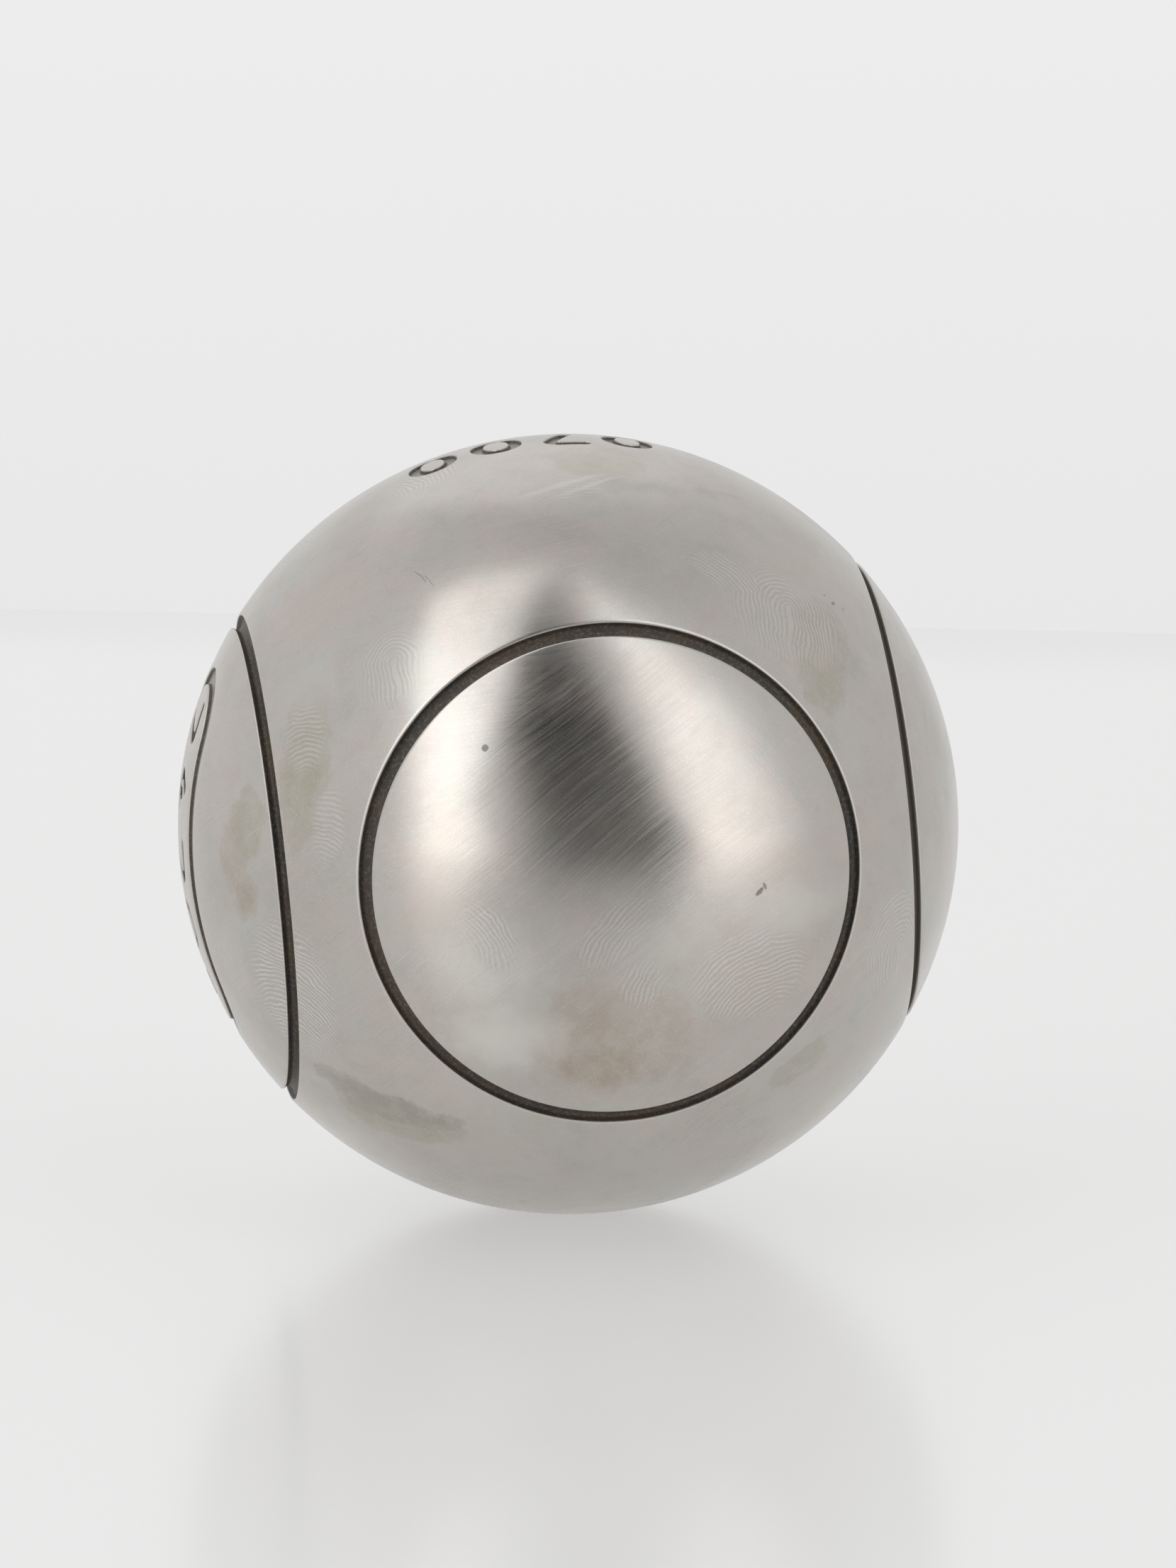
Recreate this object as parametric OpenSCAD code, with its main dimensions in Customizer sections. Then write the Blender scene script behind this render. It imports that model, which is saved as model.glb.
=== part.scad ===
// Petanque boule: a hollow steel ball made of two pressed half shells that are
// welded together, turned round and cut with a belt of ring-shaped grooves.
// The origin is the ball's centre. The weld lies in the XY plane, and the first
// groove ring faces -Y.

/* [Ball] */
// Outer diameter of the ball
ball_d = 74; // [70.5:0.5:80]
// Thickness of the steel shell
wall_t = 6.2; // [4.5:0.1:9]

/* [Grooves] */
// Number of groove rings in the belt round the ball
ring_count = 4; // [1:1:4]
// Diameter of each groove ring, at the middle of the cut
ring_d = 45; // [30:0.5:48]
// Width of the cut between its two walls
groove_w = 1.4; // [0.8:0.1:2.2]
// Depth of the cut below the ball's surface
groove_depth = 0.8; // [0.4:0.05:1.5]
// Radius of the two corners at the bottom of the cut
groove_corner_r = 0.35; // [0.1:0.05:0.6]
// Size of the broken edge along each rim of the cut
groove_edge = 0.1; // [0.05:0.05:0.3]
// Lean of the belt of rings away from the weld's plane, in degrees
belt_lean = 5.1; // [0:0.1:90]

/* [Weld] */
// Slope of each half shell's edge, away from the weld's plane, in degrees
bevel_angle = 30; // [20:1:40]
// Height of the square part of the edge, at the inside of the wall
root_face = 1.5; // [0.5:0.1:3]
// Gap between the two half shells, which the weld fills
root_gap = 1; // [0.5:0.1:2]
// Width of the weld's bead inside the ball
bead_w = 3.4; // [2.5:0.1:6]
// Height of the weld's bead above the inner wall
bead_h = 0.6; // [0.2:0.05:1.5]

/* [Hidden] */
$fn = 180;
ball_r = ball_d / 2;
cavity_r = ball_r - wall_t;
// How far a cutting shape runs past the surface that it cuts
overrun = 1;
cut_r = ball_r + overrun;

// Angle at the ball's centre between a ring's axis and its groove
ring_angle = asin(ring_d / ball_d);
groove_half_w = groove_w / 2;
// The corner can't be rounder than the cut is wide or deep
corner_most_share = 0.9;
corner_r = min(groove_corner_r, corner_most_share * min(groove_half_w, groove_depth));

// The edge of a half shell: square over the root face, then sloping outwards
root_half_gap = root_gap / 2;
root_face_end = cavity_r + root_face;
bevel_end_z = root_half_gap + (cut_r - root_face_end) * tan(bevel_angle);

// The bead's curve runs through its crest and its two toes on the inner wall
bead_half_w = bead_w / 2;
bead_crest_x = cavity_r - bead_h;
bead_rise = sqrt(pow(cavity_r, 2) - pow(bead_half_w, 2)) - bead_crest_x;
bead_r = (pow(bead_rise, 2) + pow(bead_half_w, 2)) / (2 * bead_rise);

SHELL_COLOUR = [0.69, 0.67, 0.65];
WELD_COLOUR = [0.60, 0.57, 0.54];

// Section of the whole wall, a ring between the outer and the inner circle
module wall_section() {
    difference() {
        circle(r = ball_r);
        circle(r = cavity_r);
    }
}

// Everything above the weld, on the side where sections are turned
module above_weld() {
    polygon([
        [0, root_half_gap],
        [root_face_end, root_half_gap],
        [cut_r, bevel_end_z],
        [cut_r, cut_r],
        [0, cut_r],
    ]);
}

// The space between the two bevelled edges, which the weld fills
module weld_gap() {
    polygon([
        [bead_crest_x, root_half_gap],
        [root_face_end, root_half_gap],
        [cut_r, bevel_end_z],
        [cut_r, -bevel_end_z],
        [root_face_end, -root_half_gap],
        [bead_crest_x, -root_half_gap],
    ]);
}

// Section of the bead that the weld leaves on the inner wall
module bead_section() {
    intersection() {
        circle(r = cavity_r);
        translate([bead_crest_x + bead_r, 0]) circle(r = bead_r);
    }
}

// Section of the groove cutter: the ball's surface is at y = 0, inside is below
module groove_section() {
    corner_x = groove_half_w - corner_r;
    corner_y = corner_r - groove_depth;
    translate([-groove_half_w, corner_y])
        square([groove_w, overrun - corner_y]);
    translate([-corner_x, -groove_depth])
        square([2 * corner_x, groove_depth]);
    for (side = [-1, 1])
        translate([side * corner_x, corner_y]) circle(r = corner_r);
    rim_x = groove_half_w + groove_edge + overrun;
    polygon([
        [-groove_half_w, -groove_edge],
        [groove_half_w, -groove_edge],
        [rim_x, overrun],
        [-rim_x, overrun],
    ]);
}

// Cutter for one ring, turned about the ring's own axis, which is Z here
module ring_cutter() {
    rotate_extrude()
        rotate(-ring_angle)
            translate([0, ball_r])
                groove_section();
}

// The belt of rings, evenly spaced round the leaning axis
module belt_cutter() {
    rotate([0, -belt_lean, 0])
        for (i = [0 : ring_count - 1])
            rotate([0, 0, i * 360 / ring_count])
                rotate([90, 0, 0])
                    ring_cutter();
}

// One pressed half shell with its bevelled edge, before the grooves are cut
module half_shell_blank() {
    rotate_extrude()
        intersection() {
            wall_section();
            above_weld();
        }
}

module upper_half_shell() {
    color(SHELL_COLOUR)
        difference() {
            half_shell_blank();
            belt_cutter();
        }
}

module lower_half_shell() {
    color(SHELL_COLOUR)
        difference() {
            mirror([0, 0, 1]) half_shell_blank();
            belt_cutter();
        }
}

// The weld runs through the whole wall, flush outside and with its bead inside
module weld_seam() {
    color(WELD_COLOUR)
        difference() {
            rotate_extrude() {
                intersection() {
                    wall_section();
                    weld_gap();
                }
                bead_section();
            }
            belt_cutter();
        }
}

upper_half_shell();
lower_half_shell();
weld_seam();
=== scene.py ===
import math
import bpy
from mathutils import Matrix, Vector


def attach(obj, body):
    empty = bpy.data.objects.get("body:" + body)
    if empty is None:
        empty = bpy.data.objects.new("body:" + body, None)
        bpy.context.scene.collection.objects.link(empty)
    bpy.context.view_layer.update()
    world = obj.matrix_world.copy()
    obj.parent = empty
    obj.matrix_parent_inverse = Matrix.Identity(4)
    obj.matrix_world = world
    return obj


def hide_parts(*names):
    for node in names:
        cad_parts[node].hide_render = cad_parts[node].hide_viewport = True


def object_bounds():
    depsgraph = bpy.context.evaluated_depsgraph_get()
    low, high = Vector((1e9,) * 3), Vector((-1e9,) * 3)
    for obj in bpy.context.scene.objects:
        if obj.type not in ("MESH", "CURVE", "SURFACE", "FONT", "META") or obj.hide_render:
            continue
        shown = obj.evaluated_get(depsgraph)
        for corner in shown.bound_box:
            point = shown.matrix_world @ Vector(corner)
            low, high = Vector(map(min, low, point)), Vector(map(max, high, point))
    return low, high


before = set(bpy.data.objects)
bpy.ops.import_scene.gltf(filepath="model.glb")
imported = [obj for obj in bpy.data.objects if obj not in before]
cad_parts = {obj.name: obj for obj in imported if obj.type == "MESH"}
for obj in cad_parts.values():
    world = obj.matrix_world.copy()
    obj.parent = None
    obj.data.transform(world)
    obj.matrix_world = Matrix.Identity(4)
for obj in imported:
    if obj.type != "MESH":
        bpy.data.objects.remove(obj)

from types import SimpleNamespace

import bmesh
import bpy
import numpy as np
from mathutils import Matrix, Vector
from mathutils.geometry import delaunay_2d_cdt

# Looks of a petanque boule: a hollow steel ball of two half shells and a weld,
# with a belt of four groove rings, plain engraved numbers, and a worn satin finish.
# Lengths are in metres, and MM turns millimetres into them.
MM = 0.001
cad_low, cad_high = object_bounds()
scene = bpy.context.scene

# Sizes of the ball, the same as the solids have
BALL_R = (cad_high.z - cad_low.z) / 2
WALL_T = 6.2 * MM
RING_D = 45.0 * MM
RING_COUNT = 4
GROOVE_W = 1.4 * MM
GROOVE_DEPTH = 0.8 * MM
GROOVE_CORNER_R = 0.35 * MM
# A groove's worn rim: distance from the wall in millimetres, and tilt of the surface there in degrees
WORN_RIM = [(0.5, 0), (0.32, 3), (0.22, 8), (0.14, 18), (0.08, 36), (0.04, 58), (0.012, 78), (0, 90)]
# How worn the rims are on a ring's inside and outside, as a share of that
INNER_RIM_SCALE, OUTER_RIM_SCALE = 0.6, 0.8
BELT_LEAN = math.radians(5.1)
CAVITY_R = BALL_R - WALL_T
ROOT_FACE = 1.5 * MM
ROOT_FACE_X = CAVITY_R + ROOT_FACE
ROOT_HALF_GAP = 0.5 * MM
BEVEL = math.radians(30)
BEAD_HALF_W = 1.7 * MM
BEAD_H = 0.6 * MM
# Height at which the joint comes out of the ball
SEAM_Z = ROOT_HALF_GAP + (BALL_R - ROOT_FACE_X) * math.tan(BEVEL)

# Directions of the belt: its leaning pole, and the first ring's axis
POLE = np.array([-math.sin(BELT_LEAN), 0.0, math.cos(BELT_LEAN)])
FRONT = np.array([0.0, -1.0, 0.0])
RIGHT = np.array([math.cos(BELT_LEAN), 0.0, math.sin(BELT_LEAN)])
RING_ANGLE = math.asin(RING_D / 2 / BALL_R)
RING_AXES = [
    FRONT * math.cos(turn) + RIGHT * math.sin(turn)
    for turn in (math.tau * i / RING_COUNT for i in range(RING_COUNT))
]

# Fineness of the mesh, as numbers of points, corners or rows
AROUND_RING = 360
AROUND_INSIDE = 96
GROOVE_CORNER_ROWS, CAVITY_ROWS, BEAD_ROWS = 5, 16, 9
FILLET_POINTS, ZERO_POINTS, NECK_POINTS = 9, 96, 10
FRAME_END_POINTS, FRAME_SIDE_POINTS = 64, 96
# Half width of the band of rows that each groove lies in, and its plain row as a share of that
BAND_HALF_W = 2.0 * MM
PLAIN_ROW_SHARE = 0.8
# Loose points fill the plain skin, a step apart, clear of a patch's edge and of engraved lines
SKIN_STEP = 1.0 * MM
EDGE_CLEAR = 0.6 * SKIN_STEP
ENGRAVING_CLEAR = 0.45 * MM
# Area round each loose point, as a share of a square of one step
POINT_AREA_SHARE = 0.866
MERGE_DISTANCE = 0.0005 * MM
CUT_TOLERANCE = 0.0002 * MM
CHART_TOLERANCE = 1e-7
# Faces inside are shaded as one curve where the cosine of the angle between them is above this
SMOOTH_COSINE = 0.8
# Keeps a division by zero away
TINY = 1e-9


class Chart:
    """A flat map of the sphere round one axis. It keeps angles, and its unit is the ball's radius."""

    def __init__(self, axis, up):
        self.axis = np.array(axis, float)
        self.up = np.array(up, float)
        self.right = np.cross(self.up, self.axis)

    def flat(self, directions):
        scale = 2 / (1 + directions @ self.axis)
        return np.stack([scale * (directions @ self.right), scale * (directions @ self.up)], 1)

    def round(self, places):
        places = np.asarray(places, float)
        k = (places**2).sum(1, keepdims=True) / 4
        out = places[:, :1] * self.right + places[:, 1:] * self.up + (1 - k) * self.axis
        return out / (1 + k)


class Skin:
    """The ball's outer surface while it is put together: points with their true normals, and faces."""

    def __init__(self):
        self.points, self.normals, self.faces = [], [], []
        self.count = 0

    def add(self, points, normals, faces):
        self.points.append(points)
        self.normals.append(normals)
        self.faces += [[i + self.count for i in face] for face in faces]
        self.count += len(points)


def unit(vectors):
    return vectors / np.linalg.norm(vectors, axis=-1, keepdims=True)


def groove_side(rim_scale, side):
    """Rows of a groove's side, from the band's edge to the floor, inside (-1) or outside (1) the ring."""
    half = GROOVE_W / 2
    rows = [(BAND_HALF_W, 0.0, 0.0), (BAND_HALF_W * PLAIN_ROW_SHARE, 0.0, 0.0)]
    depth, before, tilt_before = 0.0, WORN_RIM[0][0], 0.0
    for distance, tilt in WORN_RIM:
        mean_tilt = math.radians((tilt + tilt_before) / 2)
        depth += (before - distance) * MM * rim_scale * math.tan(mean_tilt)
        rows.append((half + distance * MM * rim_scale, depth, math.radians(tilt)))
        before, tilt_before = distance, tilt
    corner_x = half - GROOVE_CORNER_R
    corner_h = GROOVE_DEPTH - GROOVE_CORNER_R
    for tilt in np.radians(np.linspace(90, 0, GROOVE_CORNER_ROWS)):
        offset = corner_x + GROOVE_CORNER_R * math.sin(tilt)
        rows.append((offset, corner_h + GROOVE_CORNER_R * math.cos(tilt), tilt))
    return [(side * offset, depth, -side * tilt) for offset, depth, tilt in rows]


def groove_rows():
    """Rows across a groove: offset from its middle, depth, and the surface's tilt away from the ring."""
    outer = groove_side(OUTER_RIM_SCALE, 1)
    return groove_side(INNER_RIM_SCALE, -1) + [(0.0, GROOVE_DEPTH, 0.0)] + outer[::-1]


def around(axis, polar):
    """Unit directions at one angle from a ring's axis, counted round it from the pole's side."""
    turns = math.tau * np.arange(AROUND_RING) / AROUND_RING
    out = np.outer(np.cos(turns), POLE) + np.outer(np.sin(turns), np.cross(axis, POLE))
    return math.cos(polar) * axis + math.sin(polar) * out


def add_ring_band(skin, axis):
    """The band of surface round one ring, with its groove as a true cut."""
    points, normals = [], []
    rows = groove_rows()
    for offset, depth, tilt in rows:
        polar = RING_ANGLE + offset / BALL_R
        up = around(axis, polar)
        outward = around(axis, polar + math.pi / 2)
        points.append(up * (BALL_R - depth))
        normals.append(up * math.cos(tilt) + outward * math.sin(tilt))
    faces = []
    for row in range(len(rows) - 1):
        for i in range(AROUND_RING):
            here, there = row * AROUND_RING, (row + 1) * AROUND_RING
            after = (i + 1) % AROUND_RING
            faces.append([here + i, there + i, there + after, here + after])
    skin.add(np.concatenate(points), np.concatenate(normals), faces)


def band_edge(axis, side):
    """The last row of a ring's band, on its inside (-1) or outside (1)."""
    return around(axis, RING_ANGLE + side * BAND_HALF_W / BALL_R)


class Stroke:
    """One engraved line, as closely spaced places in the plane of the text, and its width. In metres."""

    def __init__(self, places, closed, width):
        self.places = np.array(places, float)
        self.closed = closed
        self.width = width

    def loops(self, reach):
        """The closed lines that run round the stroke at this distance from its middle line."""
        p = self.places
        along = unit(np.roll(p, -1, 0) - np.roll(p, 1, 0) if self.closed else np.gradient(p, axis=0))
        across = np.stack([-along[:, 1], along[:, 0]], 1)
        left, right = p + across * reach, p - across * reach
        if self.closed:
            return [left, right]
        swing = np.radians([60, 30, 0, -30, -60])[:, None]
        last = p[-1] + reach * (np.cos(swing) * along[-1] + np.sin(swing) * across[-1])
        first = p[0] - reach * (np.cos(swing) * along[0] + np.sin(swing) * across[0])
        return [np.concatenate([left, last, right[::-1], first])]


def rounded_line(corners, width):
    """An open engraved line with rounded corners."""
    fillet = FILLET_SHARE * width
    line = [np.array(c, float) for c in corners]
    places = [line[0]]
    for before, corner, after in zip(line, line[1:], line[2:]):
        a, b = unit(before - corner), unit(after - corner)
        half = math.acos(np.clip(a @ b, -1, 1)) / 2
        run = fillet / math.tan(half)
        start, end = corner + a * run, corner + b * run
        centre = corner + unit(a + b) * fillet / math.sin(half)
        places.append(start)
        for share in np.linspace(0, 1, FILLET_POINTS)[1:-1]:
            chord = start + (end - start) * share
            places.append(centre + unit(chord - centre) * fillet)
        places.append(end)
    places.append(line[-1])
    even = [places[0]]
    for a, b in zip(places, places[1:]):
        parts = max(1, round(np.linalg.norm(b - a) / STROKE_STEP))
        even += [a + (b - a) * k / parts for k in range(1, parts + 1)]
    return Stroke(even, False, width)


# Engraved numbers: the mass in grams on top, the diameter in millimetres and the mass on the side.
# Digits are given by height, width, line width, and the step from one to the next.
TOP_TEXT, SIDE_TEXT = "0700", "74 700"
TOP_DIGITS = (6.9 * MM, 5.0 * MM, 1.35 * MM, 6.3 * MM)
SIDE_DIGITS = (5.6 * MM, 5.1 * MM, 1.25 * MM, 6.0 * MM)
TOP_SHIFT = (0.65 * MM, 1.2 * MM)
SIDE_SHIFT = (-1.2 * MM, 0.1 * MM)
# A space between two digits, as a share of the step
SPACE = 0.25
# Radius of a rounded corner's middle line, as a share of the line's width
FILLET_SHARE = 0.7
# A zero's curve: below 1, its sides are squarer than an ellipse's
ZERO_POWER = 0.85
# The plain frame round the side's number, with round ends: length, height and line width
SIDE_FRAME = (35.5 * MM, 12.2 * MM, 1.9 * MM)
STROKE_STEP = 0.2 * MM
# Corners of the other digits' lines, as shares of half the width and half the height
DIGIT_LINES = {
    "4": [[(0.1, 1), (-1, -0.35), (1, -0.35)], [(0.45, 0.25), (0.45, -1)]],
    "7": [[(-1, 1), (1, 1), (-0.35, -1)]],
}
# Rows across an engraved line's edge: distance from it and depth in millimetres, and tilt in degrees
ENGRAVED_ROWS = np.array([
    (-0.4, 0.46, 0), (-0.28, 0.43, 32), (-0.19, 0.345, 56), (-0.09, 0.175, 60),
    (0, 0.045, 48), (0.05, 0.012, 20), (0.12, 0, 0),
])
ENGRAVED_EDGES, ENGRAVED_DEPTHS, ENGRAVED_TILTS = ENGRAVED_ROWS.T * [[MM], [MM], [1]]


def digit_strokes(digit, height, width, line_w):
    """The lines of one digit, round the middle of its own space."""
    x, y = (width - line_w) / 2, (height - line_w) / 2
    if digit == "0":
        turns = np.linspace(0, math.tau, ZERO_POINTS, endpoint=False)
        squared = [abs(math.cos(t)) ** ZERO_POWER * math.copysign(1, math.cos(t)) for t in turns]
        return [Stroke([(x * c, y * math.sin(t)) for c, t in zip(squared, turns)], True, line_w)]
    return [rounded_line([(a * x, b * y) for a, b in line], line_w) for line in DIGIT_LINES[digit]]


def frame_stroke(length, height, line_w):
    """A frame with straight sides and round ends."""
    r = height / 2
    swing = np.linspace(-math.pi / 2, math.pi / 2, FRAME_END_POINTS)
    end = np.stack([length / 2 - r + r * np.cos(swing), r * np.sin(swing)], 1)
    side = np.linspace(length / 2 - r, r - length / 2, FRAME_SIDE_POINTS)[1:-1]
    top = np.stack([side, np.full(len(side), r)], 1)
    return Stroke(np.concatenate([end, top, -end, -top]), True, line_w)


class Engraving:
    """A plain number cut into the ball round a direction, with the digits' tops towards up."""

    def __init__(self, text, axis, up, sizes, shift=(0.0, 0.0), border=None):
        height, width, line_w, pitch = sizes
        self.chart = Chart(axis, up)
        self.strokes = [frame_stroke(*border)] if border else []
        starts = [sum(SPACE if c == " " else 1 for c in text[:i]) * pitch for i in range(len(text))]
        for digit, start in zip(text, starts):
            if digit != " ":
                for stroke in digit_strokes(digit, height, width, line_w):
                    stroke.places += (start - starts[-1] / 2, 0.0)
                    self.strokes.append(stroke)
        for stroke in self.strokes:
            stroke.places += shift

    def distance(self, places):
        """How far each place is outside the nearest engraved line's edge, and the way out of that line."""
        best = np.full(len(places), np.inf)
        away = np.zeros((len(places), 2))
        for stroke in self.strokes:
            a = stroke.places
            b = np.roll(a, -1, 0)
            if not stroke.closed:
                a, b = a[:-1], b[:-1]
            run = b - a
            share = ((places[:, None] - a) * run).sum(2) / (run**2).sum(1)
            gap = places[:, None] - (a + np.clip(share, 0, 1)[..., None] * run)
            length = np.linalg.norm(gap, axis=2)
            nearest = length.argmin(1)
            rows = np.arange(len(places))
            edge = length[rows, nearest] - stroke.width / 2
            closer = edge < best
            best[closer] = edge[closer]
            away[closer] = gap[rows, nearest][closer]
        size = np.maximum(np.linalg.norm(away, axis=1, keepdims=True), TINY)
        return best, away / size

    def relief(self, directions):
        """Depth and true normal of the engraved surface in these directions."""
        edge, away = self.distance(self.chart.flat(directions) * BALL_R)
        depth = np.interp(edge, ENGRAVED_EDGES, ENGRAVED_DEPTHS)
        tilt = np.radians(np.interp(edge, ENGRAVED_EDGES, ENGRAVED_TILTS))[:, None]
        way_out = away[:, :1] * self.chart.right + away[:, 1:] * self.chart.up
        way_out = unit(way_out - (way_out * directions).sum(1, keepdims=True) * directions + TINY)
        return depth, np.cos(tilt) * directions - np.sin(tilt) * way_out

    def lines(self):
        """Closed lines on the sphere along which the mesh follows the engraving."""
        for stroke in self.strokes:
            for edge in ENGRAVED_EDGES:
                for loop in stroke.loops(stroke.width / 2 + edge):
                    yield self.chart.round(loop / BALL_R)


def even_directions(step):
    """Directions spread evenly over the sphere, about a step apart on the ball."""
    count = int(4 * math.pi * BALL_R**2 / (step**2 * POINT_AREA_SHARE))
    i = np.arange(count) + 0.5
    z = 1 - 2 * i / count
    turn = i * math.pi * (3 - math.sqrt(5))
    ring = np.sqrt(1 - z * z)
    return np.stack([ring * np.cos(turn), ring * np.sin(turn), z], 1)


FILLER = even_directions(SKIN_STEP)


def add_patch(skin, chart, boundary, inside, engraving=None):
    """A patch of plain surface between (directions, closed) lines, with an engraved number if given.

    inside says which directions lie in the patch by a margin."""
    lines = list(boundary)
    loose = FILLER[inside(FILLER, EDGE_CLEAR / BALL_R)]
    if engraving:
        clear, _ = engraving.distance(engraving.chart.flat(loose) * BALL_R)
        loose = loose[(clear > ENGRAVING_CLEAR) | (loose @ engraving.chart.axis < 0)]
        lines += [(line, True) for line in engraving.lines()]
    given = np.concatenate([line for line, closed in lines] + [loose])
    edges, first = [], 0
    for line, closed in lines:
        edges += [(first + i, first + i + 1) for i in range(len(line) - 1)]
        if closed:
            edges.append((first + len(line) - 1, first))
        first += len(line)
    flat = [Vector(p) for p in chart.flat(given)]
    made, _, faces, sources, _, _ = delaunay_2d_cdt(flat, edges, [], 0, CHART_TOLERANCE)
    directions = chart.round([tuple(p) for p in made])
    for i, source in enumerate(sources):
        if source:
            directions[i] = given[source[0]]
    corners = directions[np.array(faces)]
    keep = inside(unit(corners.sum(1)), 0.0)
    a, b, c = corners.transpose(1, 0, 2)
    outwards = (np.cross(b - a, c - a) * a).sum(1) > 0
    faces = [face if out else face[::-1] for face, kept, out in zip(faces, keep, outwards) if kept]
    used, faces = np.unique(faces, return_inverse=True)
    faces = faces.reshape(-1, 3).tolist()
    directions = directions[used]
    if engraving:
        depth, normals = engraving.relief(directions)
        far = directions @ engraving.chart.axis < 0
        depth[far] = 0
        normals[far] = directions[far]
    else:
        depth, normals = np.zeros(len(directions)), directions
    skin.add(directions * (BALL_R - depth)[:, None], normals, faces)


def add_cap(skin, axis, engraving=None):
    """The surface inside one ring."""
    limit = RING_ANGLE - BAND_HALF_W / BALL_R

    def inside(directions, margin):
        return directions @ axis > math.cos(limit - margin)

    add_patch(skin, Chart(axis, POLE), [(band_edge(axis, -1), True)], inside, engraving)


def add_side_of_belt(skin, sign, engraving=None):
    """The surface outside the rings, on the upper (1) or lower (-1) side of the belt's middle."""
    limit = RING_ANGLE + BAND_HALF_W / BALL_R
    boundary = []
    quarter = AROUND_RING // 4
    for axis in RING_AXES:
        edge = band_edge(axis, 1)
        start = -quarter if sign > 0 else quarter
        half = [edge[(start + i) % AROUND_RING] for i in range(2 * quarter + 1)]
        boundary.append((np.array(half), False))
        after = np.cross(POLE, axis)
        neck = np.linspace(limit, math.pi / 2 - limit, NECK_POINTS)
        across = np.outer(np.cos(neck), axis) + np.outer(np.sin(neck), after)
        boundary.append((across, False))

    def inside(directions, margin):
        clear = directions @ POLE * sign > math.sin(margin)
        for axis in RING_AXES:
            clear &= directions @ axis < math.cos(limit + margin)
        return clear

    add_patch(skin, Chart(sign * POLE, FRONT), boundary, inside, engraving)


def skin_mesh():
    """The whole outer surface as one bmesh, with the true normals in a layer."""
    top_number = Engraving(TOP_TEXT, POLE, FRONT, TOP_DIGITS, TOP_SHIFT)
    side_number = Engraving(SIDE_TEXT, -RIGHT, FRONT, SIDE_DIGITS, SIDE_SHIFT, SIDE_FRAME)
    skin = Skin()
    for axis in RING_AXES:
        add_ring_band(skin, axis)
        add_cap(skin, axis, side_number if axis is RING_AXES[3] else None)
    add_side_of_belt(skin, 1, top_number)
    add_side_of_belt(skin, -1)
    bm = bmesh.new()
    layer = bm.verts.layers.float_vector.new("true_normal")
    for point, normal in zip(np.concatenate(skin.points), np.concatenate(skin.normals)):
        bm.verts.new(point)[layer] = normal
    bm.verts.ensure_lookup_table()
    for face in skin.faces:
        bm.faces.new([bm.verts[i] for i in face])
    bmesh.ops.remove_doubles(bm, verts=bm.verts, dist=MERGE_DISTANCE)
    return bm


def skin_part(skin, cuts):
    """A copy of the skin, cut off at each height with one side kept, and its faces marked as outer."""
    bm = skin.copy()
    for height, keep_above in cuts:
        bmesh.ops.bisect_plane(
            bm,
            geom=bm.verts[:] + bm.edges[:] + bm.faces[:],
            dist=CUT_TOLERANCE,
            plane_co=(0, 0, height),
            plane_no=(0, 0, 1),
            clear_inner=keep_above,
            clear_outer=not keep_above,
        )
    outer = bm.faces.layers.int.new("outer")
    for face in bm.faces:
        face[outer] = 1
    return bm


def walked(edges):
    """The corners of one closed loop of edges, in order and anticlockwise round Z."""
    beside = {}
    for edge in edges:
        for corner in edge.verts:
            beside.setdefault(corner, []).append(edge.other_vert(corner))
    loop = list(edges[0].verts)
    while len(loop) < len(edges):
        before, here = loop[-2:]
        loop.append(next(corner for corner in beside[here] if corner is not before))
    turning = sum(a.co.x * b.co.y - a.co.y * b.co.x for a, b in zip(loop, loop[1:]))
    return loop if turning > 0 else loop[::-1]


def turn_of(corner):
    """A corner's angle round Z, from 0 to a full turn."""
    return math.atan2(corner.co.y, corner.co.x) % math.tau


def joint(bm, edges, height):
    """The joint from the skin's cut straight in to the root face. Gives the loop it ends in."""
    rim = walked(edges)
    turns = [turn_of(corner) for corner in rim]
    root = [bm.verts.new((ROOT_FACE_X * math.cos(t), ROOT_FACE_X * math.sin(t), height)) for t in turns]
    for i in range(len(rim)):
        bm.faces.new([rim[i - 1], rim[i], root[i], root[i - 1]])
    return root


def from_zero(loop):
    """A loop's corners from angle zero on, the first one again at the end, and their angles."""
    turns = [turn_of(corner) for corner in loop]
    start = turns.index(min(turns))
    loop = loop[start:] + loop[:start]
    turns = turns[start:] + turns[:start]
    return loop + loop[:1], turns + [turns[0] + math.tau]


def zip_loops(bm, first, second):
    """Triangles between two loops that run anticlockwise round Z, led by their angles."""
    first, first_turns = from_zero(first)
    second, second_turns = from_zero(second)
    i, j = 0, 0
    while i + 1 < len(first) or j + 1 < len(second):
        second_done = j + 1 == len(second)
        if second_done or (i + 1 < len(first) and first_turns[i + 1] < second_turns[j + 1]):
            bm.faces.new([first[i], first[i + 1], second[j]])
            i += 1
        else:
            bm.faces.new([first[i], second[j + 1], second[j]])
            j += 1


def turned(bm, profile):
    """A surface turned about Z from (radius, height) places, and its first and last loop of corners."""
    turns = [math.tau * i / AROUND_INSIDE for i in range(AROUND_INSIDE)]
    loops = []
    for radius, height in profile:
        spots = turns if radius else [0.0]
        loops.append([bm.verts.new((radius * math.cos(t), radius * math.sin(t), height)) for t in spots])
    for first, second in zip(loops, loops[1:]):
        for i in range(AROUND_INSIDE):
            after = (i + 1) % AROUND_INSIDE
            if len(second) == 1:
                bm.faces.new([first[i], first[after], second[0]])
            else:
                bm.faces.new([first[i], first[after], second[after], second[i]])
    return loops[0], loops[-1]


def new_object(name, data):
    made = bpy.data.objects.new(name, data)
    scene.collection.objects.link(made)
    return made


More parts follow.
